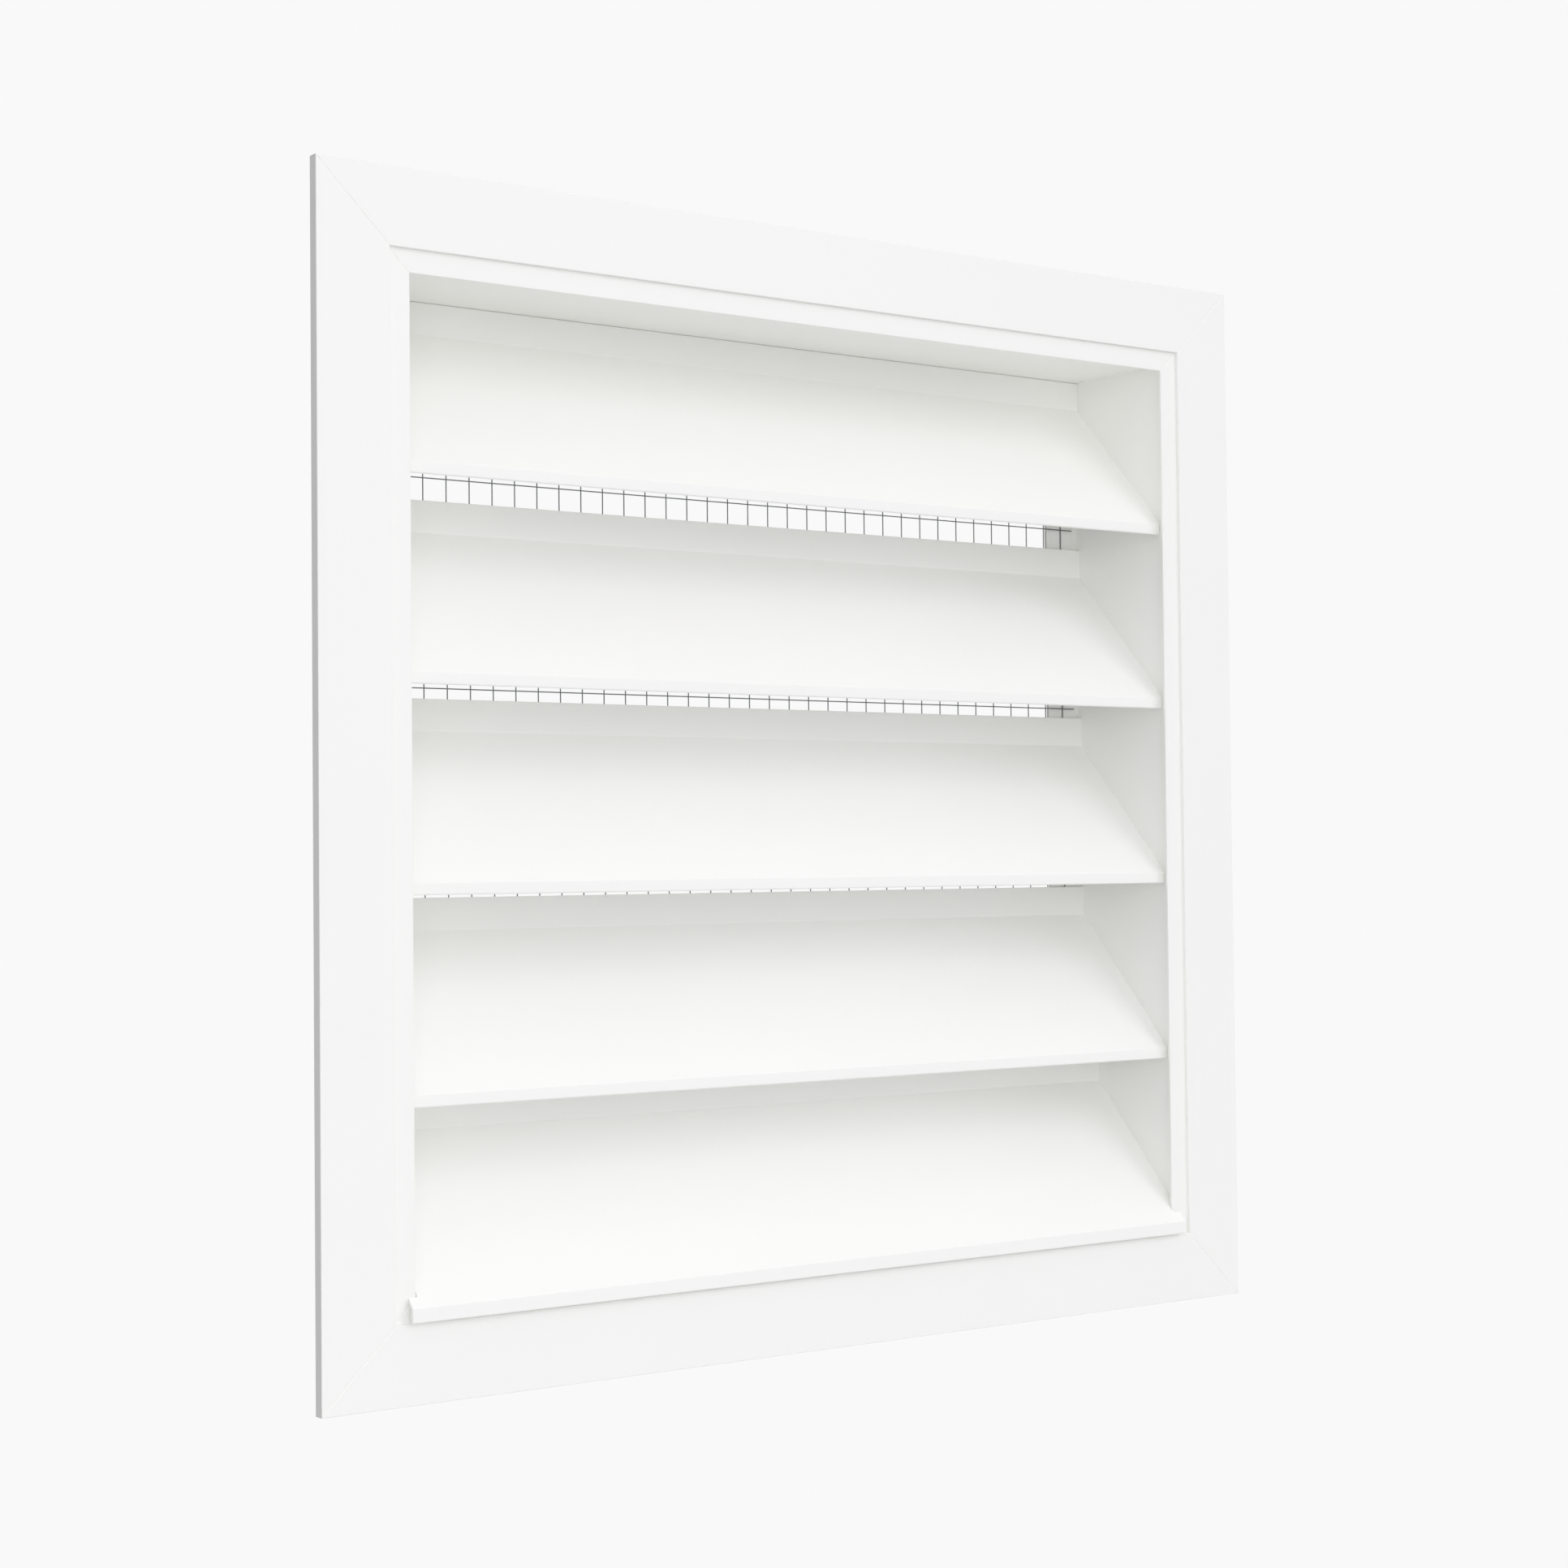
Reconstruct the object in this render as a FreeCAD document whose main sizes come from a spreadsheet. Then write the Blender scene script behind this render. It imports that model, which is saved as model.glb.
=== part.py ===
import FreeCAD, Part
import Sketcher
import math
import os

# Weather louvre for an outside wall: a mitred frame of four extruded lengths,
# fixed sloping blades between its side lengths, a projecting sill blade at the
# foot and a welded wire mesh against the return at the back.
# Millimetres. X runs along the blades, +Y runs from the front into the wall and
# +Z is up. The origin is the middle of the plane in which the flange meets the
# wall, so the front face of the flange lies rim_depth in front of it.

doc = FreeCAD.newDocument("WeatherLouvre")

SIZES = [
    # The flange that shows round the opening, and its rim against the wall.
    ("outer_width", 580.0),
    ("outer_height", 580.0),
    ("flange_width", 38.0),
    ("flange_thick", 1.8),
    ("rim_depth", 6.2),
    ("rim_thick", 1.8),
    # The strip inside the flange, set back a little, and its inner lip.
    ("step_recess", 2.2),
    ("strip_width", 11.3),
    ("strip_thick", 1.8),
    ("lip_return", 4.5),
    # The throat that goes into the wall, and the return at its back.
    ("throat_depth", 83.5),
    ("throat_wall", 2.0),
    ("return_width", 23.3),
    ("return_thick", 1.8),
    # The hooked channel behind the flange that takes the corner cleats.
    ("channel_start", 7.0),
    ("channel_width", 22.0),
    ("channel_depth", 2.4),
    ("hook_reach", 2.0),
    ("hook_thick", 1.2),
    # Finish of the extruded edges and of the mitred joints.
    ("edge_radius", 0.4),
    ("mitre_chamfer", 0.3),
    # The section that all blades share.
    ("blade_pitch", 100.0),
    ("blade_gauge", 1.5),
    ("web_angle", 46.8),
    ("upstand_height", 16.6),
    ("nose_height", 5.9),
    ("nose_thick", 1.9),
    ("bend_radius", 1.4),
    # Where the blades stand in the throat, and how their ends are cut.
    ("blade_setback", 8.0),
    ("upstand_gap", 0.11),
    ("sill_projection", 3.6),
    ("blade_end_gap", 0.1),
    ("head_gap", 0.15),
    ("sill_gap", 0.15),
    ("ear_inset", 1.9),
    ("ear_depth", 5.4),
    ("slot_lead", 1.4),
    ("notch_gap", 0.3),
    # The C-shaped screw ports under the web, and the screws in them.
    ("port_radius", 3.1),
    ("port_bore", 1.8),
    ("port_slot", 1.6),
    ("port_drop", 2.5),
    ("port_front", 15.0),
    ("port_rear", 12.0),
    ("screw_gap", 0.1),
    ("screw_length", 16.0),
    ("screw_hole_gap", 0.5),
    ("head_across", 6.4),
    ("head_height", 3.4),
    ("washer_radius", 4.5),
    ("washer_thick", 0.8),
    # The corner cleats.
    ("cleat_arm", 62.0),
    ("cleat_thick", 2.2),
    ("cleat_gap", 0.1),
    # The welded wire mesh.
    ("mesh_pitch", 13.28),
    ("wire_diameter", 0.62),
    ("mesh_gap", 0.05),
    ("mesh_edge", 4.5),
    ("mesh_rise", 4.0),
]

sheet = doc.addObject("Spreadsheet::Sheet", "Sizes")
for row, (alias, value) in enumerate(SIZES, start=1):
    sheet.set("A%d" % row, alias)
    sheet.set("B%d" % row, str(value))
    sheet.setAlias("B%d" % row, alias)
doc.recompute()


def number(expression):
    """The present value of an expression on the sheet."""
    return float(sheet.evalExpression(expression))


# Places that several pieces share, as expressions on the sheet. Distances into
# the frame are counted from the outer edge of the flange, and depths from its
# front face, which is rim_depth in front of the wall.
OPENING_INSET = "(Sizes.flange_width + Sizes.strip_width)"
THROAT_INSET = "(Sizes.flange_width + Sizes.strip_width - Sizes.lip_return)"
STRIP_BACK = "(Sizes.step_recess + Sizes.strip_thick)"
THROAT_HALF_WIDTH = "(Sizes.outer_width / 2 - %s)" % THROAT_INSET
OPENING_HALF_WIDTH = "(Sizes.outer_width / 2 - %s)" % OPENING_INSET
BLADE_HALF_LENGTH = "(%s - Sizes.blade_end_gap)" % THROAT_HALF_WIDTH
MESH_FRONT = "(Sizes.throat_depth - Sizes.return_thick - Sizes.mesh_gap - 2 * Sizes.wire_diameter)"
BLADE_RUN = "(%s - Sizes.upstand_gap - Sizes.blade_gauge - Sizes.blade_setback)" % MESH_FRONT
WEB_RISE = "(%s * tan(Sizes.web_angle))" % BLADE_RUN
WEB_DROP = "(Sizes.blade_gauge / cos(Sizes.web_angle))"
FIRST_BLADE_Z = "(Sizes.outer_height / 2 - %s - Sizes.head_gap - %s - Sizes.upstand_height)" % (
    THROAT_INSET, WEB_RISE)
SILL_BLADE_Z = "(%s + Sizes.sill_gap - Sizes.outer_height / 2 + %s - %s * tan(Sizes.web_angle))" % (
    OPENING_INSET, WEB_DROP, "(Sizes.step_recess + Sizes.sill_projection)")
BLADE_Y = "(Sizes.blade_setback - Sizes.rim_depth)"
SILL_BLADE_Y = "(0 - Sizes.sill_projection - Sizes.rim_depth)"
PORT_STATIONS = ["Sizes.port_front", "(%s - Sizes.port_rear)" % BLADE_RUN]

# As many whole pitches as fit between the head and the sill blade.
blade_count = round((number(FIRST_BLADE_Z) - number(SILL_BLADE_Z)) / number("Sizes.blade_pitch"))


def place(item, x="0", y="0", z="0", turn=0.0):
    """Turn a piece about +Y and bind its origin to the sheet."""
    item.Placement.Rotation = FreeCAD.Rotation(FreeCAD.Vector(0, 1, 0), turn)
    item.setExpression("Placement.Base.x", x)
    item.setExpression("Placement.Base.y", y)
    item.setExpression("Placement.Base.z", z)


def new_body(name):
    body = doc.addObject("PartDesign::Body", name)
    body.Label = name
    return body


def new_sketch(body, name, role):
    """A sketch on one of the body's own origin planes."""
    sketch = body.newObject("Sketcher::SketchObject", name)
    plane = [item for item in body.Origin.OriginFeatures if item.Role == role][0]
    sketch.AttachmentSupport = [(plane, "")]
    sketch.MapMode = "FlatFace"
    return sketch


def bind(sketch, kind, geometry, point, expression):
    """Add one dimension to a sketch and tie it to the sheet."""
    value = number(expression)
    if kind == "Radius":
        index = sketch.addConstraint(Sketcher.Constraint(kind, geometry, value))
    else:
        index = sketch.addConstraint(Sketcher.Constraint(kind, geometry, point, value))
    sketch.setExpression("Constraints[%d]" % index, expression)


def add_outline(sketch, corners):
    """A closed outline of straight lines; each corner is a pair of expressions."""
    points = [FreeCAD.Vector(number(x), number(y), 0) for x, y in corners]
    first = sketch.GeometryCount
    count = len(corners)
    for index in range(count):
        line = Part.LineSegment(points[index], points[(index + 1) % count])
        sketch.addGeometry(line, False)
    for index, (x, y) in enumerate(corners):
        following = first + (index + 1) % count
        sketch.addConstraint(Sketcher.Constraint("Coincident", first + index, 2, following, 1))
        bind(sketch, "DistanceX", first + index, 1, x)
        bind(sketch, "DistanceY", first + index, 1, y)


def add_circle(sketch, x, y, radius):
    """A circle with its centre and radius tied to the sheet."""
    centre = FreeCAD.Vector(number(x), number(y), 0)
    circle = Part.Circle(centre, FreeCAD.Vector(0, 0, 1), number(radius))
    index = sketch.addGeometry(circle, False)
    bind(sketch, "DistanceX", index, 3, x)
    bind(sketch, "DistanceY", index, 3, y)
    bind(sketch, "Radius", index, 0, radius)


def add_pad(body, name, sketch, length):
    """Extrude a sketch equally to both sides of its plane."""
    pad = body.newObject("PartDesign::Pad", name)
    pad.Profile = sketch
    pad.Midplane = True
    pad.setExpression("Length", length)
    doc.recompute()
    return pad


def add_cut(body, name, sketch):
    """Cut a sketch right through the body, to both sides of its plane."""
    volume = body.Shape.Volume
    cut = body.newObject("PartDesign::Pocket", name)
    cut.Profile = sketch
    cut.Type = "ThroughAll"
    cut.Midplane = True
    doc.recompute()
    if body.Shape.Volume >= volume:
        raise RuntimeError(name + " cut nothing")
    return cut


def dress_edges(body, kind, name, base, wanted, size, amount):
    """Round or chamfer the edges of the base feature that a test picks."""
    names = ["Edge%d" % (index + 1) for index, edge in enumerate(base.Shape.Edges) if wanted(edge)]
    if not names:
        raise RuntimeError(name + " found no edge")
    dressed = body.newObject(kind, name)
    dressed.Base = (base, names)
    dressed.setExpression(size, amount)
    doc.recompute()
    if dressed.Shape.isNull():
        raise RuntimeError(name + " failed")
    return dressed


def runs_along_x_at(corners):
    """A test for long edges through any of these (y, z) corners of a profile."""
    places = [(number(y), number(z)) for y, z in corners]

    def wanted(edge):
        start, end = edge.Vertexes[0].Point, edge.Vertexes[-1].Point
        if abs(start.y - end.y) > 1e-4 or abs(start.z - end.z) > 1e-4:
            return False
        return any(math.hypot(start.y - y, start.z - z) < 1e-3 for y, z in places)

    return wanted


# Frame. Each length is one aluminium extrusion: a flange with a rim that bears
# on the wall, a strip set back inside it, the throat wall, and a return at the
# back. It is drawn as the head of the frame, with the flange's outer edge on
# the X axis, and turned to its side of the opening.
def frame_profile():
    """Corners of the section as (depth, height), the outer edge at height 0."""
    flange = "Sizes.flange_width"
    web_inner = "(Sizes.flange_width - Sizes.flange_thick)"
    throat_outer = "(%s - Sizes.throat_wall)" % THROAT_INSET
    return_edge = "(%s + Sizes.return_width)" % THROAT_INSET
    return_front = "(Sizes.throat_depth - Sizes.return_thick)"
    hook_near = "Sizes.channel_start"
    hook_far = "(Sizes.channel_start + Sizes.channel_width)"
    hook_under = "(Sizes.flange_thick + Sizes.channel_depth)"
    hook_top = "(Sizes.flange_thick + Sizes.channel_depth + Sizes.hook_thick)"
    steps = [
        ("0", "0"),
        (flange, "0"),
        (flange, "Sizes.step_recess"),
        (OPENING_INSET, "Sizes.step_recess"),
        (OPENING_INSET, STRIP_BACK),
        (THROAT_INSET, STRIP_BACK),
        (THROAT_INSET, return_front),
        (return_edge, return_front),
        (return_edge, "Sizes.throat_depth"),
        (throat_outer, "Sizes.throat_depth"),
        (throat_outer, STRIP_BACK),
        (web_inner, STRIP_BACK),
        (web_inner, "Sizes.flange_thick"),
        (hook_far + " + Sizes.hook_thick", "Sizes.flange_thick"),
        (hook_far + " + Sizes.hook_thick", hook_top),
        (hook_far + " - Sizes.hook_reach", hook_top),
        (hook_far + " - Sizes.hook_reach", hook_under),
        (hook_far, hook_under),
        (hook_far, "Sizes.flange_thick"),
        (hook_near, "Sizes.flange_thick"),
        (hook_near, hook_under),
        (hook_near + " + Sizes.hook_reach", hook_under),
        (hook_near + " + Sizes.hook_reach", hook_top),
        (hook_near + " - Sizes.hook_thick", hook_top),
        (hook_near + " - Sizes.hook_thick", "Sizes.flange_thick"),
        ("Sizes.rim_thick", "Sizes.flange_thick"),
        ("Sizes.rim_thick", "Sizes.rim_depth"),
        ("0", "Sizes.rim_depth"),
    ]
    return [(depth, "0 - (%s)" % inset) for inset, depth in steps]


def mitre_outline(length, side):
    """The triangle that the saw takes off one end, with a little to spare."""
    spare = "Sizes.rim_depth"
    deepest = "(%s + Sizes.return_width + Sizes.rim_depth)" % THROAT_INSET
    tip = "%d * (%s / 2 + %s)" % (side, length, spare)
    root = "%d * (%s / 2 - %s)" % (side, length, deepest)
    return [(tip, spare), (root, "0 - " + deepest), (tip, "0 - " + deepest)]


def on_mitre_front(half_length):
    """A test for the front edges of the two sawn faces, on flange and strip."""
    front_depths = [0.0, number("Sizes.step_recess")]

    def wanted(edge):
        start, end = edge.Vertexes[0].Point, edge.Vertexes[-1].Point
        if not any(abs(start.y - d) < 1e-4 and abs(end.y - d) < 1e-4 for d in front_depths):
            return False
        if edge.Length < 2.0 or start.x * end.x <= 0:
            return False
        return all(abs(abs(p.x) - half_length - p.z) < 1e-3 for p in (start, end))

    return wanted


def make_frame_length(name, length, turn, x, z, screw_places):
    body = new_body(name)
    corners = frame_profile()
    section = new_sketch(body, name + "_section", "YZ_Plane")
    add_outline(section, corners)
    add_pad(body, name + "_bar", section, length)
    for side, tag in ((-1, "start"), (1, "end")):
        saw = new_sketch(body, "%s_saw_%s" % (name, tag), "XZ_Plane")
        add_outline(saw, mitre_outline(length, side))
        mitred = add_cut(body, "%s_mitre_%s" % (name, tag), saw)
    # A fine chamfer on the front of each sawn edge leaves the groove that shows
    # as a hairline across every corner.
    groove = dress_edges(body, "PartDesign::Chamfer", name + "_groove", mitred,
                         on_mitre_front(number(length) / 2), "Size", "Sizes.mitre_chamfer")
    # The die leaves a small radius on the edges that show from the front.
    shown = [corners[index] for index in (0, 1, 3, 4)]
    last = dress_edges(body, "PartDesign::Fillet", name + "_edges", groove,
                       runs_along_x_at(shown), "Radius", "Sizes.edge_radius")
    if screw_places:
        drill = new_sketch(body, name + "_screw_plan", "XY_Plane")
        for along, depth in screw_places:
            add_circle(drill, along, depth, "Sizes.port_bore + Sizes.screw_hole_gap")
        last = add_cut(body, name + "_screw_holes", drill)
    body.Tip = last
    place(body, x, "0 - Sizes.rim_depth", z, turn)
    return body


# Blades. One extruded section: a drip nose in front, a sloping web and an
# upstand at the back that turns rain away from the mesh. Two C-shaped ports run
# along the underside of the web and take the screws through the frame. The
# section's own origin is the top front corner of the nose.
def blade_profile():
    rear = "(%s + Sizes.blade_gauge)" % BLADE_RUN
    top = "(%s + Sizes.upstand_height)" % WEB_RISE
    under_rear = "(%s * tan(Sizes.web_angle) - %s)" % (rear, WEB_DROP)
    under_nose = "(Sizes.nose_thick * tan(Sizes.web_angle) - %s)" % WEB_DROP
    return [
        ("0", "0"),
        (BLADE_RUN, WEB_RISE),
        (BLADE_RUN, top),
        (rear, top),
        (rear, under_rear),
        ("Sizes.nose_thick", under_nose),
        ("Sizes.nose_thick", "0 - Sizes.nose_height"),
        ("0", "0 - Sizes.nose_height"),
    ]


def port_centre(station):
    """Centre of a screw port, hung under the web at a distance from the nose."""
    y = "(%s + Sizes.port_drop * sin(Sizes.web_angle))" % station
    z = "(%s * tan(Sizes.web_angle) - %s - Sizes.port_drop * cos(Sizes.web_angle))" % (
        station, WEB_DROP)
    return y, z


def port_slot_outline(station):
    """The slot from the middle of a port out through its lower wall."""
    y, z = port_centre(station)
    half = "Sizes.port_slot / 2"
    reach = "(Sizes.port_radius * 1.5)"
    corners = []
    for along, out in (("-1", "0"), ("1", "0"), ("1", reach), ("-1", reach)):
        corner_y = "%s + %s * %s * cos(Sizes.web_angle) + %s * sin(Sizes.web_angle)" % (
            y, along, half, out)
        corner_z = "%s + %s * %s * sin(Sizes.web_angle) - %s * cos(Sizes.web_angle)" % (
            z, along, half, out)
        corners.append((corner_y, corner_z))
    return corners


def end_cut_outline(side, inner_x, front_y, rear_y):
    """A rectangle that takes a blade's end back to inner_x between two depths."""
    past_end = "%d * (%s + Sizes.rim_depth)" % (side, BLADE_HALF_LENGTH)
    inner = "%d * %s" % (side, inner_x)
    return [(inner, front_y), (past_end, front_y), (past_end, rear_y), (inner, rear_y)]


def make_blade(name, y, z, end_cuts):
    body = new_body(name)
    corners = blade_profile()
    section = new_sketch(body, name + "_section", "YZ_Plane")
    add_outline(section, corners)
    length = "2 * " + BLADE_HALF_LENGTH
    sheet_form = add_pad(body, name + "_sheet", section, length)
    # The nose is nearly a full round at its foot, and the upstand's top is eased.
    nose = dress_edges(body, "PartDesign::Fillet", name + "_nose", sheet_form,
                       runs_along_x_at([corners[index] for index in (0, 6, 7)]),
                       "Radius", "Sizes.nose_thick * 0.45")
    top = dress_edges(body, "PartDesign::Fillet", name + "_top", nose,
                      runs_along_x_at([corners[index] for index in (2, 3)]),
                      "Radius", "Sizes.blade_gauge * 0.35")
    inside = dress_edges(body, "PartDesign::Fillet", name + "_bend_inside", top,
                         runs_along_x_at([corners[1], corners[5]]),
                         "Radius", "Sizes.bend_radius")
    dress_edges(body, "PartDesign::Fillet", name + "_bend_outside", inside,
                runs_along_x_at([corners[4]]),
                "Radius", "Sizes.bend_radius + Sizes.blade_gauge")
    ports = new_sketch(body, name + "_ports", "YZ_Plane")
    bores = new_sketch(body, name + "_bores", "YZ_Plane")
    slots = new_sketch(body, name + "_slots", "YZ_Plane")
    for station in PORT_STATIONS:
        centre_y, centre_z = port_centre(station)
        add_circle(ports, centre_y, centre_z, "Sizes.port_radius")
        add_circle(bores, centre_y, centre_z, "Sizes.port_bore")
        add_outline(slots, port_slot_outline(station))
    add_pad(body, name + "_port_walls", ports, length)
    add_cut(body, name + "_port_bores", bores)
    add_cut(body, name + "_port_slots", slots)
    for index, (inner_x, front_y, rear_y) in enumerate(end_cuts):
        cut = new_sketch(body, "%s_end_%d" % (name, index), "XY_Plane")
        for side in (-1, 1):
            add_outline(cut, end_cut_outline(side, inner_x, front_y, rear_y))
        body.Tip = add_cut(body, "%s_end_cut_%d" % (name, index), cut)
    place(body, "0", y, z)
    return body


BEFORE_NOSE = "(0 - Sizes.nose_thick)"
EAR_HALF_LENGTH = "(%s - Sizes.ear_inset)" % THROAT_HALF_WIDTH
LOUVRE_END_CUTS = [(EAR_HALF_LENGTH, BEFORE_NOSE, "Sizes.ear_depth")]
# The sill blade passes out over the foot of the frame at its full length: it is
# slotted round the lips of the side lengths, and its ears stand in front of them.
LIP_SLOT_FRONT = "(Sizes.sill_projection + Sizes.step_recess - Sizes.slot_lead)"
LIP_SLOT_REAR = "(Sizes.sill_projection + %s + Sizes.notch_gap)" % STRIP_BACK
SILL_END_CUTS = [("(%s - Sizes.notch_gap)" % OPENING_HALF_WIDTH, LIP_SLOT_FRONT, LIP_SLOT_REAR)]

blade_places = []
for index in range(blade_count):
    height = "(%s - %d * Sizes.blade_pitch)" % (FIRST_BLADE_Z, index)
    blade_places.append(("louvre_blade_%d" % (index + 1), BLADE_Y, height, LOUVRE_END_CUTS))
blade_places.append(("sill_blade", SILL_BLADE_Y, SILL_BLADE_Z, SILL_END_CUTS))

pieces = []
screw_spots = []
for name, y, z, end_cuts in blade_places:
    pieces.append(make_blade(name, y, z, end_cuts))
    for station in PORT_STATIONS:
        centre_y, centre_z = port_centre(station)
        screw_spots.append(("(%s + %s)" % (y, centre_y), "(%s + %s)" % (z, centre_z)))

# In a side length's own frame the X axis runs up the frame on the left and down
# it on the right, and depth is counted from the flange's front face.
left_screws = [(z, "(%s + Sizes.rim_depth)" % y) for y, z in screw_spots]
right_screws = [("0 - " + z, "(%s + Sizes.rim_depth)" % y) for y, z in screw_spots]
half_width = "Sizes.outer_width / 2"
half_height = "Sizes.outer_height / 2"
for name, length, turn, x, z, screws in (
        ("frame_top", "Sizes.outer_width", 0.0, "0", half_height, []),
        ("frame_right", "Sizes.outer_height", 90.0, half_width, "0", right_screws),
        ("frame_bottom", "Sizes.outer_width", 180.0, "0", "0 - " + half_height, []),
        ("frame_left", "Sizes.outer_height", -90.0, "0 - " + half_width, "0", left_screws)):
    pieces.append(make_frame_length(name, length, turn, x, z, screws))


# Corner cleats. A flat aluminium angle is pushed into the channels behind the
# flange of two lengths and crimped, and holds each mitre closed. It is drawn
# for the top right corner, its outer edges square to the frame's.
def make_cleat(name, turn, x, z):
    body = new_body(name)
    near = "(0 - Sizes.channel_start - Sizes.cleat_gap)"
    far = "(0 - Sizes.channel_start - Sizes.channel_width + Sizes.cleat_gap)"
    tip = "(0 - Sizes.channel_start - Sizes.cleat_arm)"
    plan = new_sketch(body, name + "_plan", "XZ_Plane")
    add_outline(plan, [(near, near), (near, tip), (far, tip), (far, far), (tip, far), (tip, near)])
    body.Tip = add_pad(body, name + "_plate", plan, "Sizes.cleat_thick")
    depth = "Sizes.flange_thick + Sizes.cleat_gap + Sizes.cleat_thick / 2 - Sizes.rim_depth"
    place(body, x, depth, z, turn)
    return body


for name, turn, x, z in (
        ("corner_cleat_top_right", 0.0, half_width, half_height),
        ("corner_cleat_bottom_right", 90.0, half_width, "0 - " + half_height),
        ("corner_cleat_bottom_left", 180.0, "0 - " + half_width, "0 - " + half_height),
        ("corner_cleat_top_left", -90.0, "0 - " + half_width, half_height)):
    pieces.append(make_cleat(name, turn, x, z))


# Blade screws. Self-tapping screws with a hexagon head and a washer in one
# piece pass through the throat wall into the ports at both ends of every blade.
# One screw is modelled on the X axis, its washer seated at x = 0 and its shank
# running to -X. Its round parts are drawn with twelve flats.
def polygon_outline(count, radius, across_flats=False):
    """Corners of a regular polygon, by its corner radius or half across flats."""
    reach = radius
    if across_flats:
        reach = "(%s / cos(%s))" % (radius, 180.0 / count)
    corners = []
    for step in range(count):
        angle = 360.0 * (step + 0.5) / count
        corners.append(("%s * cos(%s)" % (reach, angle), "%s * sin(%s)" % (reach, angle)))
    return corners


def make_screw():
    body = new_body("blade_screw")
    shank = "(Sizes.port_bore - Sizes.screw_gap)"
    for part, count, radius, flats, length, reverse in (
            ("washer", 12, "Sizes.washer_radius", False, "Sizes.washer_thick", False),
            ("head", 6, "Sizes.head_across / 2", True, "Sizes.head_height", False),
            ("shank", 12, shank, False, "Sizes.screw_length", True)):
        outline = new_sketch(body, "blade_screw_%s_outline" % part, "YZ_Plane")
        add_outline(outline, polygon_outline(count, radius, flats))
        pad = body.newObject("PartDesign::Pad", "blade_screw_" + part)
        pad.Profile = outline
        pad.Reversed = reverse
        pad.setExpression("Length", length)
        doc.recompute()
    body.Tip = pad
    return body


screw = make_screw()


def make_screw_group(name, side):
    """All screws of one side length, in one node."""
    wall = number(THROAT_HALF_WIDTH) + number("Sizes.throat_wall")
    turn = FreeCAD.Rotation(FreeCAD.Vector(0, 0, 1), 0.0 if side > 0 else 180.0)
    copies = []
    for y, z in screw_spots:
        spot = FreeCAD.Vector(side * wall, number(y), number(z))
        copy = screw.Shape.copy()
        copy.Placement = FreeCAD.Placement(spot, turn)
        copies.append(copy)
    group = doc.addObject("Part::Feature", name)
    group.Label = name
    group.Shape = Part.makeCompound(copies)
    return group


pieces.append(make_screw_group("blade_screws_left", -1))
pieces.append(make_screw_group("blade_screws_right", 1))


# Bird mesh. Galvanised wires welded in two layers, the level ones in front. The
# panel stands between the upstands of the blades and the return of the frame.
# Each wire is a solid of its own with eight flats, and lies flat against the
# wires that it crosses.
def make_wire(radius, start, along):
    """A wire of eight flats, from a start point along an upright or level axis."""
    reach = radius / math.cos(math.pi / 8)
    across = FreeCAD.Vector(0, 1, 0).cross(along).normalize()
    points = []
    for step in range(9):
        angle = math.pi * (2 * step + 1) / 8
        out = FreeCAD.Vector(0, 1, 0) * (reach * math.cos(angle)) + across * (reach * math.sin(angle))
        points.append(start + out)
    points[8] = points[0]
    return Part.Face(Part.makePolygon(points)).extrude(along)


def make_mesh():
    pitch = number("Sizes.mesh_pitch")
    radius = number("Sizes.wire_diameter") / 2
    half_span_x = number(THROAT_HALF_WIDTH) - number("Sizes.mesh_edge")
    half_span_z = number("Sizes.outer_height / 2 - %s" % THROAT_INSET) - number("Sizes.mesh_edge")
    level_y = number(MESH_FRONT + " - Sizes.rim_depth") + radius
    upright_y = level_y + 2 * radius
    wires = []
    columns = 2 * int((half_span_x / pitch) + 0.5)
    for index in range(columns):
        x = (index - (columns - 1) / 2) * pitch
        start = FreeCAD.Vector(x, upright_y, -half_span_z)
        wires.append(make_wire(radius, start, FreeCAD.Vector(0, 0, 2 * half_span_z)))
    rows = 2 * int((half_span_z / pitch) + 0.5)
    for index in range(rows):
        z = (index - (rows - 1) / 2) * pitch + number("Sizes.mesh_rise")
        start = FreeCAD.Vector(-half_span_x, level_y, z)
        wires.append(make_wire(radius, start, FreeCAD.Vector(2 * half_span_x, 0, 0)))
    mesh = doc.addObject("Part::Feature", "bird_mesh")
    mesh.Label = "bird_mesh"
    mesh.Shape = Part.makeCompound(wires)
    return mesh


pieces.append(make_mesh())

doc.recompute()
for item in doc.Objects:
    if "Invalid" in item.State or "Error" in item.State:
        raise RuntimeError("%s did not compute: %s" % (item.Label, item.State))
for piece in pieces:
    if piece.Shape.isNull() or not piece.Shape.isValid():
        raise RuntimeError(piece.Label + " has no valid shape")

os.makedirs("parts", exist_ok=True)
for piece in pieces:
    piece.Shape.exportStep("parts/%s.step" % piece.Label)
    box = piece.Shape.BoundBox
    print("%-28s solids %3d  volume %10.1f  x %.1f..%.1f  y %.1f..%.1f  z %.1f..%.1f" % (
        piece.Label, len(piece.Shape.Solids), piece.Shape.Volume,
        box.XMin, box.XMax, box.YMin, box.YMax, box.ZMin, box.ZMax))
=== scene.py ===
import math

import bpy
from mathutils import Matrix, Vector


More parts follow.
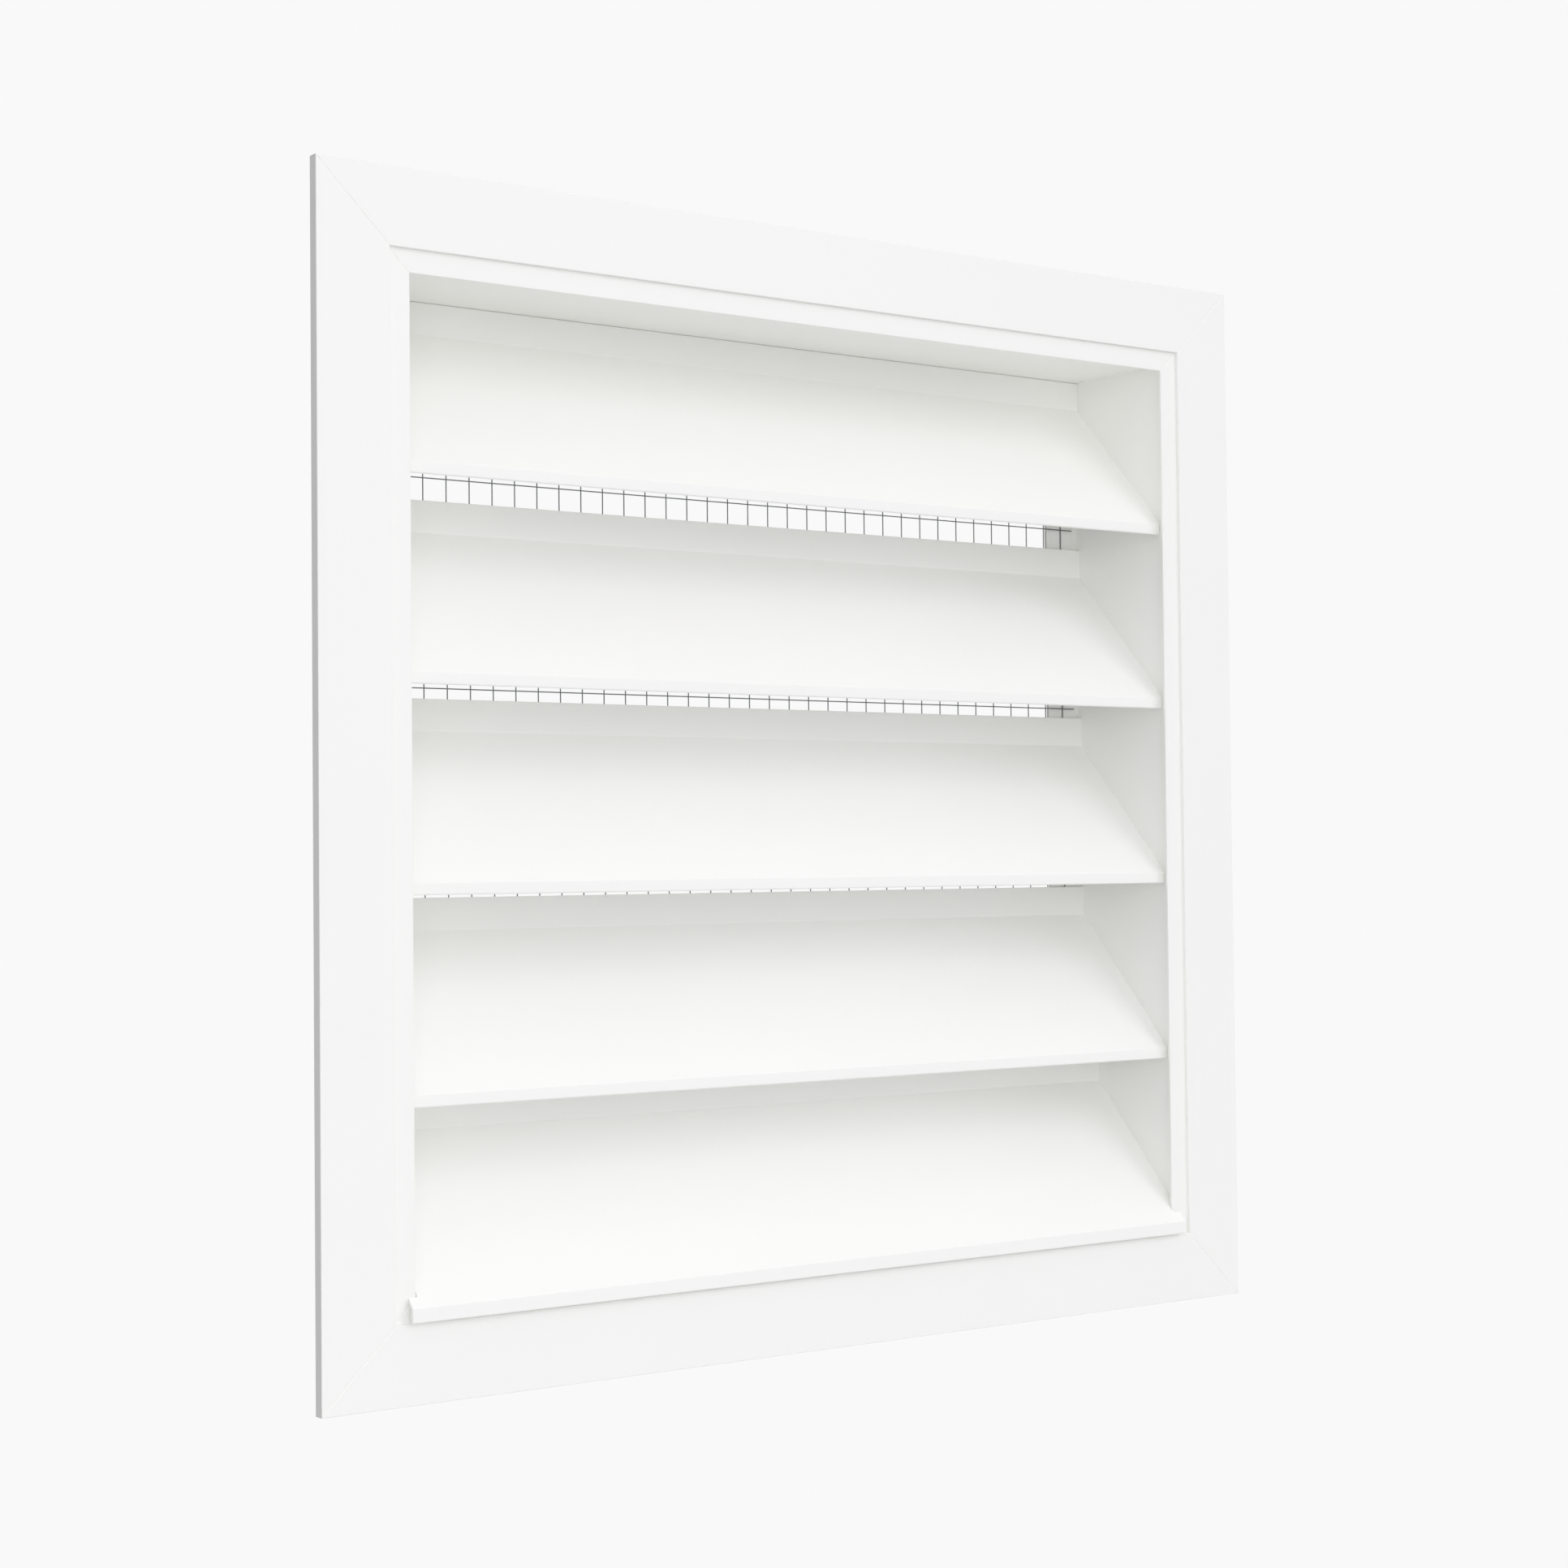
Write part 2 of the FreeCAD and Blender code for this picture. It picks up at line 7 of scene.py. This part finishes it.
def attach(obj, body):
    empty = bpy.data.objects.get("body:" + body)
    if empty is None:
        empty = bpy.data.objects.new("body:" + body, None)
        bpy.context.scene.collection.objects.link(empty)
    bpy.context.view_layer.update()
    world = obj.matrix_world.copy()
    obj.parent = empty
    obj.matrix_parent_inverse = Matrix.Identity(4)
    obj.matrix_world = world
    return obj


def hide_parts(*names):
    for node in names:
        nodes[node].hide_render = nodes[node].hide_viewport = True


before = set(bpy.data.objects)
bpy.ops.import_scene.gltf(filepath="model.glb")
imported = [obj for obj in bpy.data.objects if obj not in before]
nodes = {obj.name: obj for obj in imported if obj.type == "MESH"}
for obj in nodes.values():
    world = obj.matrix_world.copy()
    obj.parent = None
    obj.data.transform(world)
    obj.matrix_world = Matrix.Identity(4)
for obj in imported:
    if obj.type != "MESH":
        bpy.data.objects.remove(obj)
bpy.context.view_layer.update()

# Camera. The louvre is seen from its left and from a little below its middle,
# at the height of an eye across a room. Distances are from the middle of the
# plane in which the flange meets the wall.
CAMERA_PLACE = Vector((-0.84271, -1.15182, -0.03956))
CAMERA_RIGHT = Vector((0.815268, -0.579000, -0.009848))
CAMERA_UP = Vector((-0.008792, -0.029379, 0.999530))
CAMERA_AHEAD = Vector((0.579017, 0.814798, 0.029042))
FOCAL_LENGTH_MM = 62.894
SENSOR_WIDTH_MM = 36.0

camera_data = bpy.data.cameras.new("camera")
camera_data.sensor_width = SENSOR_WIDTH_MM
camera_data.lens = FOCAL_LENGTH_MM
camera = bpy.data.objects.new("camera", camera_data)
bpy.context.collection.objects.link(camera)
turn = Matrix((CAMERA_RIGHT, CAMERA_UP, -CAMERA_AHEAD)).transposed()
camera.matrix_world = Matrix.Translation(CAMERA_PLACE) @ turn.to_4x4()
bpy.context.scene.camera = camera


# Frame. Four lengths of one aluminium extrusion, mitred at the corners and held
# by cleats, then coated with a white polyester powder and stoved. The coat flows
# out to a satin skin with a slight orange peel.
POWDER_WHITE = "#FAFBF8"
POWDER_WHITE_THIN = "#F9F9F6"
POWDER_ROUGHNESS = 0.42
POWDER_ROUGHNESS_SPREAD = 0.03
POWDER_IOR = 1.5
# Real orange peel is about 1 mm across. It is drawn at 2.5 mm so that it shows.
ORANGE_PEEL_M = 0.0025
ORANGE_PEEL_DEPTH_M = 0.000004
ORANGE_PEEL_STRENGTH = 0.6
# The coat is a little thicker in some places, as the spray gun leaves it.
CLOUD_M = 0.09


def linear(code):
    """An sRGB hex colour as the linear numbers that a shader takes."""
    channels = []
    for start in (1, 3, 5):
        value = int(code[start:start + 2], 16) / 255.0
        dark = value <= 0.04045
        channels.append(value / 12.92 if dark else ((value + 0.055) / 1.055) ** 2.4)
    return (*channels, 1.0)


def add_node(tree, kind, settings=None, links=None):
    """Add one node. Settings are its properties or input values, links its sources."""
    node = tree.nodes.new(kind)
    for name, value in (settings or {}).items():
        if isinstance(name, str) and hasattr(node, name):
            setattr(node, name, value)
        else:
            node.inputs[name].default_value = value
    for name, source in (links or {}).items():
        tree.links.new(source, node.inputs[name])
    return node


def new_material(name):
    """An empty node material and its tree."""
    material = bpy.data.materials.new(name)
    material.use_nodes = True
    material.node_tree.nodes.clear()
    return material, material.node_tree


def set_material(piece, material):
    """Give every slot of a piece the same material."""
    if not piece.material_slots:
        piece.data.materials.append(material)
    for place in piece.material_slots:
        place.material = material


powder_coat, tree = new_material("white_polyester_powder_coat")
place = add_node(tree, "ShaderNodeTexCoord").outputs["Object"]
cloud = add_node(tree, "ShaderNodeTexNoise", {
    "Scale": 1 / CLOUD_M, "Detail": 2.0}, {"Vector": place})
tint = add_node(tree, "ShaderNodeMix", {
    "data_type": "RGBA", 6: linear(POWDER_WHITE_THIN), 7: linear(POWDER_WHITE)}, {
    0: cloud.outputs[0]})
peel = add_node(tree, "ShaderNodeTexNoise", {
    "Scale": 1 / ORANGE_PEEL_M, "Detail": 1.0, "Roughness": 0.4}, {"Vector": place})
relief = add_node(tree, "ShaderNodeBump", {
    "Strength": ORANGE_PEEL_STRENGTH, "Distance": ORANGE_PEEL_DEPTH_M}, {
    "Height": peel.outputs[0]})
gloss = add_node(tree, "ShaderNodeMapRange", {
    "To Min": POWDER_ROUGHNESS - POWDER_ROUGHNESS_SPREAD,
    "To Max": POWDER_ROUGHNESS + POWDER_ROUGHNESS_SPREAD}, {"Value": cloud.outputs[0]})
coat = add_node(tree, "ShaderNodeBsdfPrincipled", {"IOR": POWDER_IOR}, {
    "Base Color": tint.outputs[2], "Roughness": gloss.outputs[0], "Normal": relief.outputs[0]})
add_node(tree, "ShaderNodeOutputMaterial", None, {"Surface": coat.outputs[0]})

for name in ("frame_top", "frame_bottom", "frame_left", "frame_right"):
    set_material(nodes[name], powder_coat)


# Blades. Four louvre blades and the sill blade are one aluminium extrusion, cut
# to length, notched at the ends and coated with the frame's powder. Screws
# through the side lengths hold them in their ports.
BLADE_SMOOTH_ANGLE = math.radians(30)
# The sill blade's nose reaches further down than the others do, so that it hides
# the recess behind the flange. All of the nose's foot lies below this height.
NOSE_FOOT_Z = -0.2494
SILL_NOSE_DROP = 0.00115
SAME_CORNER_M = 0.000001


def select_only(*pieces):
    """Select these pieces and no other, with the first one active."""
    bpy.ops.object.select_all(action="DESELECT")
    for piece in pieces:
        piece.select_set(True)
    bpy.context.view_layer.objects.active = pieces[0]


def merge_corners(distance):
    """Merge the active piece's corners that nearly meet, and stay in edit mode."""
    bpy.ops.object.mode_set(mode="EDIT")
    bpy.ops.mesh.select_all(action="SELECT")
    bpy.ops.mesh.remove_doubles(threshold=distance)


def pick(piece, kind, test):
    """Leave a piece in edit mode with only the corners or faces picked that pass."""
    bpy.ops.object.mode_set(mode="EDIT")
    bpy.ops.mesh.select_mode(type=kind)
    bpy.ops.mesh.select_all(action="DESELECT")
    bpy.ops.object.mode_set(mode="OBJECT")
    parts = piece.data.vertices if kind == "VERT" else piece.data.polygons
    for part in parts:
        part.select = test(part)
    bpy.ops.object.mode_set(mode="EDIT")


for name in ("louvre_blade_1", "louvre_blade_2", "louvre_blade_3", "louvre_blade_4"):
    set_material(nodes[name], powder_coat)

projecting_sill = nodes["sill_blade"].copy()
projecting_sill.data = nodes["sill_blade"].data.copy()
projecting_sill.name = projecting_sill.data.name = "projecting_sill"
bpy.context.collection.objects.link(projecting_sill)
select_only(projecting_sill)
merge_corners(SAME_CORNER_M)
pick(projecting_sill, "VERT", lambda corner: corner.co.z < NOSE_FOOT_Z)
bpy.ops.transform.translate(value=(0, 0, -SILL_NOSE_DROP))
bpy.ops.object.mode_set(mode="OBJECT")
# The web and the nose's face stay flat, and only the bends between them shade round.
bpy.ops.mesh.customdata_custom_splitnormals_clear()
bpy.ops.object.shade_smooth_by_angle(angle=BLADE_SMOOTH_ANGLE)
flat_web = projecting_sill.modifiers.new("flat_web", "WEIGHTED_NORMAL")
flat_web.keep_sharp = True
bpy.ops.object.modifier_apply(modifier=flat_web.name)
set_material(projecting_sill, powder_coat)
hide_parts("sill_blade")
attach(projecting_sill, "root")


# Corner cleats. Flat angles of bare aluminium plate, sawn and tumbled, pushed
# into the channels behind the flange. Rolling leaves fine lines along them.
MILL_ALUMINIUM = "#C4C5C7"
MILL_LINES_M = 0.0012
MILL_LINES_STRETCH = 0.05
MILL_ROUGHNESS_LOW = 0.34
MILL_ROUGHNESS_HIGH = 0.52

mill_aluminium, tree = new_material("mill_finish_aluminium")
place = add_node(tree, "ShaderNodeTexCoord").outputs["Object"]
stretched = add_node(tree, "ShaderNodeMapping", {
    "Scale": (1.0, 1.0, MILL_LINES_STRETCH)}, {"Vector": place})
lines = add_node(tree, "ShaderNodeTexNoise", {
    "Scale": 1 / MILL_LINES_M, "Detail": 3.0}, {"Vector": stretched.outputs[0]})
scratches = add_node(tree, "ShaderNodeMapRange", {
    "To Min": MILL_ROUGHNESS_LOW, "To Max": MILL_ROUGHNESS_HIGH}, {"Value": lines.outputs[0]})
bare = add_node(tree, "ShaderNodeBsdfPrincipled", {
    "Base Color": linear(MILL_ALUMINIUM), "Metallic": 1.0}, {"Roughness": scratches.outputs[0]})
add_node(tree, "ShaderNodeOutputMaterial", None, {"Surface": bare.outputs[0]})

for corner in ("top_left", "top_right", "bottom_left", "bottom_right"):
    set_material(nodes["corner_cleat_" + corner], mill_aluminium)


# Bird mesh. Galvanised steel wires, the upright ones behind and the level ones
# in front, pressed together and spot welded where they cross. Their grey is
# darkened to the tone the wires show in shade behind the blades: painted shade.
# Zinc greys with painted shade: darker than bare zinc, as the wires look in shade.
ZINC_GREY_PAINTED_SHADE = "#6E7173"
ZINC_GREY_PAINTED_SHADE_PALE = "#85888A"
ZINC_METALLIC = 0.8
ZINC_ROUGHNESS_LOW = 0.45
ZINC_ROUGHNESS_HIGH = 0.6
SPANGLE_M = 0.004
WIRE_RADIUS = 0.00031
WIRE_SIDES = 12
WIRE_END_CHAMFER = WIRE_RADIUS * 0.35
WIRE_SMOOTH_ANGLE = math.radians(40)
# How far the welding presses the level wires into the upright ones.
WIRE_SINK = 0.00005
WELD_RADIUS = WIRE_RADIUS * 1.45
WELD_FLATTENING = 0.75
MESH_PITCH = 0.01328
WIRE_COUNT = 36
WIRE_HALF_LENGTH = 0.2407
UPRIGHT_Y = 0.07514
LEVEL_Y = 0.07452
MESH_RISE = 0.004
FIRST_WIRE = -(WIRE_COUNT - 1) / 2 * MESH_PITCH
STEP_RIGHT = (MESH_PITCH, 0, 0)
STEP_UP = (0, 0, MESH_PITCH)
# Where the first upright and the first level wire lie, and the step to the next.
WIRE_LAYS = (
    (Matrix.Translation((FIRST_WIRE, UPRIGHT_Y, 0)), STEP_RIGHT),
    (Matrix.Translation((0, LEVEL_Y + WIRE_SINK, FIRST_WIRE + MESH_RISE))
     @ Matrix.Rotation(math.pi / 2, 4, "Y"), STEP_UP))

# The wire's base colour blends two greys, and both carry painted shade.
galvanised_wire, tree = new_material("galvanised_wire_with_painted_shade")
place = add_node(tree, "ShaderNodeTexCoord").outputs["Object"]
spangle = add_node(tree, "ShaderNodeTexNoise", {
    "Scale": 1 / SPANGLE_M, "Detail": 3.0}, {"Vector": place})
zinc = add_node(tree, "ShaderNodeMix", {
    "data_type": "RGBA", 6: linear(ZINC_GREY_PAINTED_SHADE), 7: linear(ZINC_GREY_PAINTED_SHADE_PALE)}, {
    0: spangle.outputs[0]})
dull = add_node(tree, "ShaderNodeMapRange", {
    "To Min": ZINC_ROUGHNESS_LOW, "To Max": ZINC_ROUGHNESS_HIGH}, {"Value": spangle.outputs[0]})
wire_skin = add_node(tree, "ShaderNodeBsdfPrincipled", {"Metallic": ZINC_METALLIC}, {
    "Base Color": zinc.outputs[2], "Roughness": dull.outputs[0]})
add_node(tree, "ShaderNodeOutputMaterial", None, {"Surface": wire_skin.outputs[0]})


def bake_place(piece, place=None):
    """Move a piece to a place, then its place, turn and size into its mesh."""
    if place is not None:
        piece.matrix_world = place
    piece.data.transform(piece.matrix_world)
    piece.matrix_world = Matrix.Identity(4)


def join(name, pieces):
    """Join pieces into the first one and name it."""
    select_only(*pieces)
    bpy.ops.object.join()
    pieces[0].name = name
    pieces[0].data.name = name
    return pieces[0]


def repeat(piece, count, step):
    """Repeat a piece along a step, with an array that is applied."""
    bpy.context.view_layer.objects.active = piece
    array = piece.modifiers.new("repeat", "ARRAY")
    array.count = count
    array.use_relative_offset = False
    array.use_constant_offset = True
    array.constant_offset_displace = step
    bpy.ops.object.modifier_apply(modifier=array.name)


bpy.ops.object.select_all(action="DESELECT")
sets = []
for lay, step in WIRE_LAYS:
    bpy.ops.mesh.primitive_cylinder_add(
        vertices=WIRE_SIDES, radius=WIRE_RADIUS, depth=2 * WIRE_HALF_LENGTH,
        end_fill_type="NGON")
    wire = bpy.context.object
    # The shears leave a small burr-free chamfer at each end.
    pick(wire, "FACE", lambda face: len(face.vertices) > 4)
    bpy.ops.mesh.bevel(
        offset=WIRE_END_CHAMFER, offset_type="OFFSET", segments=1, affect="EDGES")
    bpy.ops.object.mode_set(mode="OBJECT")
    bake_place(wire, lay)
    repeat(wire, WIRE_COUNT, step)
    sets.append(wire)

# Each weld squeezes a small collar of metal out round the crossing.
bpy.ops.mesh.primitive_ico_sphere_add(subdivisions=1, radius=WELD_RADIUS)
weld = bpy.context.object
bake_place(weld, Matrix.Translation((
    FIRST_WIRE, (UPRIGHT_Y + LEVEL_Y) / 2, FIRST_WIRE + MESH_RISE)) @ Matrix.Diagonal((
        1.0, WELD_FLATTENING, 1.0, 1.0)))
repeat(weld, WIRE_COUNT, STEP_RIGHT)
repeat(weld, WIRE_COUNT, STEP_UP)
sets.append(weld)
bird_mesh = join("welded_bird_mesh", sets)
set_material(bird_mesh, galvanised_wire)
bpy.ops.object.shade_smooth_by_angle(angle=WIRE_SMOOTH_ANGLE)
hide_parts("bird_mesh")
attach(bird_mesh, "root")


# Blade screws. Stainless self-tapping screws with a hexagon head forged in one
# with its washer. They go in from outside the throat and cut their own thread
# in the blades' ports.
STAINLESS = "#B4B3AE"
STAINLESS_SHADED = "#A09F9B"
STAINLESS_ROUGHNESS_LOW = 0.26
STAINLESS_ROUGHNESS_HIGH = 0.4
FORGING_GRAIN_M = 0.0008
FORGING_DEPTH_M = 0.00001
FORGING_STRENGTH = 0.3
SCREW_SMOOTH_ANGLE = math.radians(25)
# A face whose normal is this near to the screw's axis lies square to it.
SQUARE_FACE = 0.99
WASHER_SIDES = 24
WASHER_RADIUS = 0.0045
WASHER_THICK = 0.0008
WASHER_FLAT_MARGIN = 0.0002
WASHER_RIM_THICK = WASHER_THICK * 0.55
WASHER_RIM_FROM = WASHER_RADIUS * 0.95
HEAD_ACROSS = 0.0064
HEAD_HEIGHT = 0.0034
HEAD_CHAMFER = 0.0003
# The cup goes down in two slopes. Each has a width and a depth.
CUP_SLOPES = ((0.0007, 0.0005), (0.0005, 0.0002))
CORE_RADIUS = 0.00135
CREST_RADIUS = 0.00168
ROOT_RADIUS = CORE_RADIUS - 0.0001
RIDGE_HALF = 0.00032
THREAD_PITCH = 0.0014
THREAD_TURNS = 9
SHANK_SIDES = 12
SHANK_LENGTH = 0.016
POINT_LENGTH = 0.0026
POINT_SHARE = 0.2
SAME_THREAD_CORNER_M = 0.00001
SCREW_X = 0.2472
# The two ports of each blade, as depth and height: four louvre blades a pitch
# apart, and the sill blade.
BLADE_PITCH = 0.1
SCREW_PLACES = [
    (depth, height - step * BLADE_PITCH)
    for step in range(4) for depth, height in ((0.018623, 0.165127), (0.062422, 0.211768))]
SCREW_PLACES += [(0.007023, -0.232464), (0.050823, -0.185822)]

stainless, tree = new_material("forged_stainless_steel")
place = add_node(tree, "ShaderNodeTexCoord").outputs["Object"]
grain = add_node(tree, "ShaderNodeTexNoise", {
    "Scale": 1 / FORGING_GRAIN_M, "Detail": 4.0}, {"Vector": place})
sheen = add_node(tree, "ShaderNodeMix", {
    "data_type": "RGBA", 6: linear(STAINLESS_SHADED), 7: linear(STAINLESS)}, {
    0: grain.outputs[0]})
polish = add_node(tree, "ShaderNodeMapRange", {
    "To Min": STAINLESS_ROUGHNESS_LOW, "To Max": STAINLESS_ROUGHNESS_HIGH}, {
    "Value": grain.outputs[0]})
pitting = add_node(tree, "ShaderNodeBump", {
    "Strength": FORGING_STRENGTH, "Distance": FORGING_DEPTH_M}, {"Height": grain.outputs[0]})
steel = add_node(tree, "ShaderNodeBsdfPrincipled", {"Metallic": 1.0}, {
    "Base Color": sheen.outputs[2], "Roughness": polish.outputs[0],
    "Normal": pitting.outputs[0]})
add_node(tree, "ShaderNodeOutputMaterial", None, {"Surface": steel.outputs[0]})

# The washer slopes down from the head to a thin rim.
bpy.ops.object.select_all(action="DESELECT")
bpy.ops.mesh.primitive_cylinder_add(
    vertices=WASHER_SIDES, radius=WASHER_RADIUS, depth=WASHER_THICK,
    location=(0, 0, WASHER_THICK / 2))
washer = bpy.context.object
bake_place(washer)
pick(washer, "FACE", lambda face: face.normal.z > SQUARE_FACE)
bpy.ops.mesh.inset(thickness=WASHER_RADIUS - HEAD_ACROSS / 2 - WASHER_FLAT_MARGIN)
bpy.ops.object.mode_set(mode="OBJECT")
for corner in washer.data.vertices:
    if corner.co.z > WASHER_THICK / 2 and corner.co.xy.length > WASHER_RIM_FROM:
        corner.co.z = WASHER_RIM_THICK

# The head is a hexagon, chamfered round its top, with the shallow cup that the
# forging punch leaves. It starts halfway down the washer.
bpy.ops.mesh.primitive_cylinder_add(
    vertices=6, radius=HEAD_ACROSS / 2 / math.cos(math.pi / 6),
    depth=HEAD_HEIGHT - WASHER_THICK / 2,
    location=(0, 0, (HEAD_HEIGHT + WASHER_THICK / 2) / 2))
head = bpy.context.object
bake_place(head)
pick(head, "FACE", lambda face: face.normal.z > SQUARE_FACE)
bpy.ops.mesh.bevel(offset=HEAD_CHAMFER, offset_type="OFFSET", segments=2, affect="EDGES")
pick(head, "FACE", lambda face: face.normal.z > SQUARE_FACE)
for width, depth in CUP_SLOPES:
    bpy.ops.mesh.inset(thickness=width)
    bpy.ops.transform.translate(value=(0, 0, -depth))
bpy.ops.object.mode_set(mode="OBJECT")

# The shank ends in a blunt point.
bpy.ops.mesh.primitive_cylinder_add(
    vertices=SHANK_SIDES, radius=CORE_RADIUS, depth=SHANK_LENGTH - POINT_LENGTH,
    location=(0, 0, -(SHANK_LENGTH - POINT_LENGTH) / 2))
shank = bpy.context.object
bake_place(shank)
pick(shank, "FACE", lambda face: face.normal.z < -SQUARE_FACE)
bpy.ops.mesh.extrude_region_move(TRANSFORM_OT_translate={"value": (0, 0, -POINT_LENGTH)})
bpy.ops.transform.resize(value=(POINT_SHARE, POINT_SHARE, 1.0))
bpy.ops.object.mode_set(mode="OBJECT")

# The thread is one ridge of three edges that winds up round the shank.
bpy.ops.mesh.primitive_circle_add(vertices=3, radius=CORE_RADIUS, fill_type="NOTHING")
thread = bpy.context.object
ridge = ((ROOT_RADIUS, -RIDGE_HALF), (CREST_RADIUS, 0), (ROOT_RADIUS, RIDGE_HALF))
for corner, (reach, rise) in zip(thread.data.vertices, ridge):
    corner.co = (reach, 0, rise - SHANK_LENGTH + POINT_LENGTH)
winding = thread.modifiers.new("winding", "SCREW")
winding.axis = "Z"
winding.angle = 2 * math.pi
winding.screw_offset = THREAD_PITCH
winding.iterations = THREAD_TURNS
winding.steps = winding.render_steps = SHANK_SIDES
winding.use_normal_calculate = True
bpy.context.view_layer.objects.active = thread
bpy.ops.object.modifier_apply(modifier=winding.name)
merge_corners(SAME_THREAD_CORNER_M)
bpy.ops.mesh.fill_holes(sides=3)
bpy.ops.mesh.normals_make_consistent(inside=False)
bpy.ops.object.mode_set(mode="OBJECT")

blade_screw = join("blade_screw", [washer, head, shank, thread])
for side, name in ((-1, "blade_screw_set_left"), (1, "blade_screw_set_right")):
    copies = []
    for depth, height in SCREW_PLACES:
        copy = blade_screw.copy()
        copy.data = blade_screw.data.copy()
        bpy.context.collection.objects.link(copy)
        bake_place(copy, Matrix.Translation((side * SCREW_X, depth, height))
                   @ Matrix.Rotation(side * math.pi / 2, 4, "Y"))
        copies.append(copy)
    screws = join(name, copies)
    set_material(screws, stainless)
    bpy.ops.object.shade_smooth_by_angle(angle=SCREW_SMOOTH_ANGLE)
    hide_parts("blade_screws_left" if side < 0 else "blade_screws_right")
    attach(screws, "root")
bpy.data.objects.remove(blade_screw)


# Floor and light. The louvre hangs as it would in a wall, over a pale floor. The
# room is bright above in front, and on the right behind. Three weak softboxes
# stand in front of it: high on the right, on the left, and low in the middle.
ROOM_WHITE = "#F9F9F9"
DAYLIGHT = "#FDFCFF"
FLOOR_Z = -1.6
FLOOR_HALF = 1.25
FLOOR_SHADOW = 0.15
LIGHT_ABOVE = 0.9
LIGHT_BELOW = 0.3
LIGHT_BEHIND_LEFT = 0.1
LIGHT_BEHIND_RIGHT = 1.25
# How far to each side of a middle plane two parts of the room blend.
LIGHT_BLEND = 0.1
SOFTBOX_SIZE = 1.6
SOFTBOXES = {
    "key_softbox": ((1.1, -2.3, 1.35), 12.8),
    "fill_softbox": ((-1.1, -2.35, 0.0), 13.8),
    "low_softbox": ((0.2, -2.3, -1.3), 3.5)}
LIGHT_BOUNCES = 12


def shown_share(tree):
    """One where the camera sees a surface straight, in a gloss or through glass."""
    path = add_node(tree, "ShaderNodeLightPath")
    first_two = add_node(tree, "ShaderNodeMath", {"operation": "MAXIMUM"}, {
        0: path.outputs["Is Camera Ray"], 1: path.outputs["Is Glossy Ray"]})
    return add_node(tree, "ShaderNodeMath", {"operation": "MAXIMUM"}, {
        0: first_two.outputs[0], 1: path.outputs["Is Transmission Ray"]}).outputs[0]


room = bpy.data.worlds.new("pale_room")
bpy.context.scene.world = room
room.use_nodes = True
tree = room.node_tree
tree.nodes.clear()
# A direction's X, Y and Z tell where in the room it points.
place = add_node(tree, "ShaderNodeTexCoord").outputs["Generated"]
way = add_node(tree, "ShaderNodeSeparateXYZ", None, {0: place})
blend = {"From Min": -LIGHT_BLEND, "From Max": LIGHT_BLEND}
rise = add_node(tree, "ShaderNodeMapRange", {
    **blend, "To Min": LIGHT_BELOW, "To Max": LIGHT_ABOVE}, {"Value": way.outputs["Z"]})
window = add_node(tree, "ShaderNodeMapRange", {
    **blend, "To Min": LIGHT_BEHIND_LEFT, "To Max": LIGHT_BEHIND_RIGHT}, {
    "Value": way.outputs["X"]})
behind = add_node(tree, "ShaderNodeMapRange", blend, {"Value": way.outputs["Y"]})
level = add_node(tree, "ShaderNodeMix", None, {
    0: behind.outputs[0], 2: rise.outputs[0], 3: window.outputs[0]})
lighting = add_node(tree, "ShaderNodeBackground", {"Color": linear(DAYLIGHT)}, {
    "Strength": level.outputs[0]})
seen = add_node(tree, "ShaderNodeBackground", {"Color": linear(ROOM_WHITE), "Strength": 1.0})
both = add_node(tree, "ShaderNodeMixShader", None, {
    0: shown_share(tree), 1: lighting.outputs[0], 2: seen.outputs[0]})
add_node(tree, "ShaderNodeOutputWorld", None, {"Surface": both.outputs[0]})

bpy.ops.mesh.primitive_plane_add(size=2 * FLOOR_HALF, location=(0, 0, FLOOR_Z))
floor = bpy.context.object
floor.name = "floor"
pale_floor, tree = new_material("pale_floor")
# What is seen of the floor is mostly its colour, with enough of the light on it
# to keep a faint shadow of the louvre.
matt = add_node(tree, "ShaderNodeBsdfDiffuse", {"Color": linear(ROOM_WHITE)})
bright = add_node(tree, "ShaderNodeEmission", {"Color": linear(ROOM_WHITE), "Strength": 1.0})
part = add_node(tree, "ShaderNodeMath", {"operation": "MULTIPLY", 1: 1.0 - FLOOR_SHADOW}, {
    0: shown_share(tree)})
mixed = add_node(tree, "ShaderNodeMixShader", None, {
    0: part.outputs[0], 1: matt.outputs[0], 2: bright.outputs[0]})
add_node(tree, "ShaderNodeOutputMaterial", None, {"Surface": mixed.outputs[0]})
set_material(floor, pale_floor)

for name, (stand, power) in SOFTBOXES.items():
    lamp = bpy.data.lights.new(name, "AREA")
    lamp.shape = "SQUARE"
    lamp.size = SOFTBOX_SIZE
    lamp.energy = power
    lamp.color = linear(DAYLIGHT)[:3]
    softbox = bpy.data.objects.new(name, lamp)
    bpy.context.collection.objects.link(softbox)
    softbox.location = stand
    softbox.rotation_euler = (-Vector(stand)).to_track_quat("-Z", "Y").to_euler()
    softbox.visible_camera = False

# Light goes on between the white blades for many bounces.
bpy.context.scene.cycles.diffuse_bounces = LIGHT_BOUNCES
bpy.context.scene.view_settings.view_transform = "Standard"
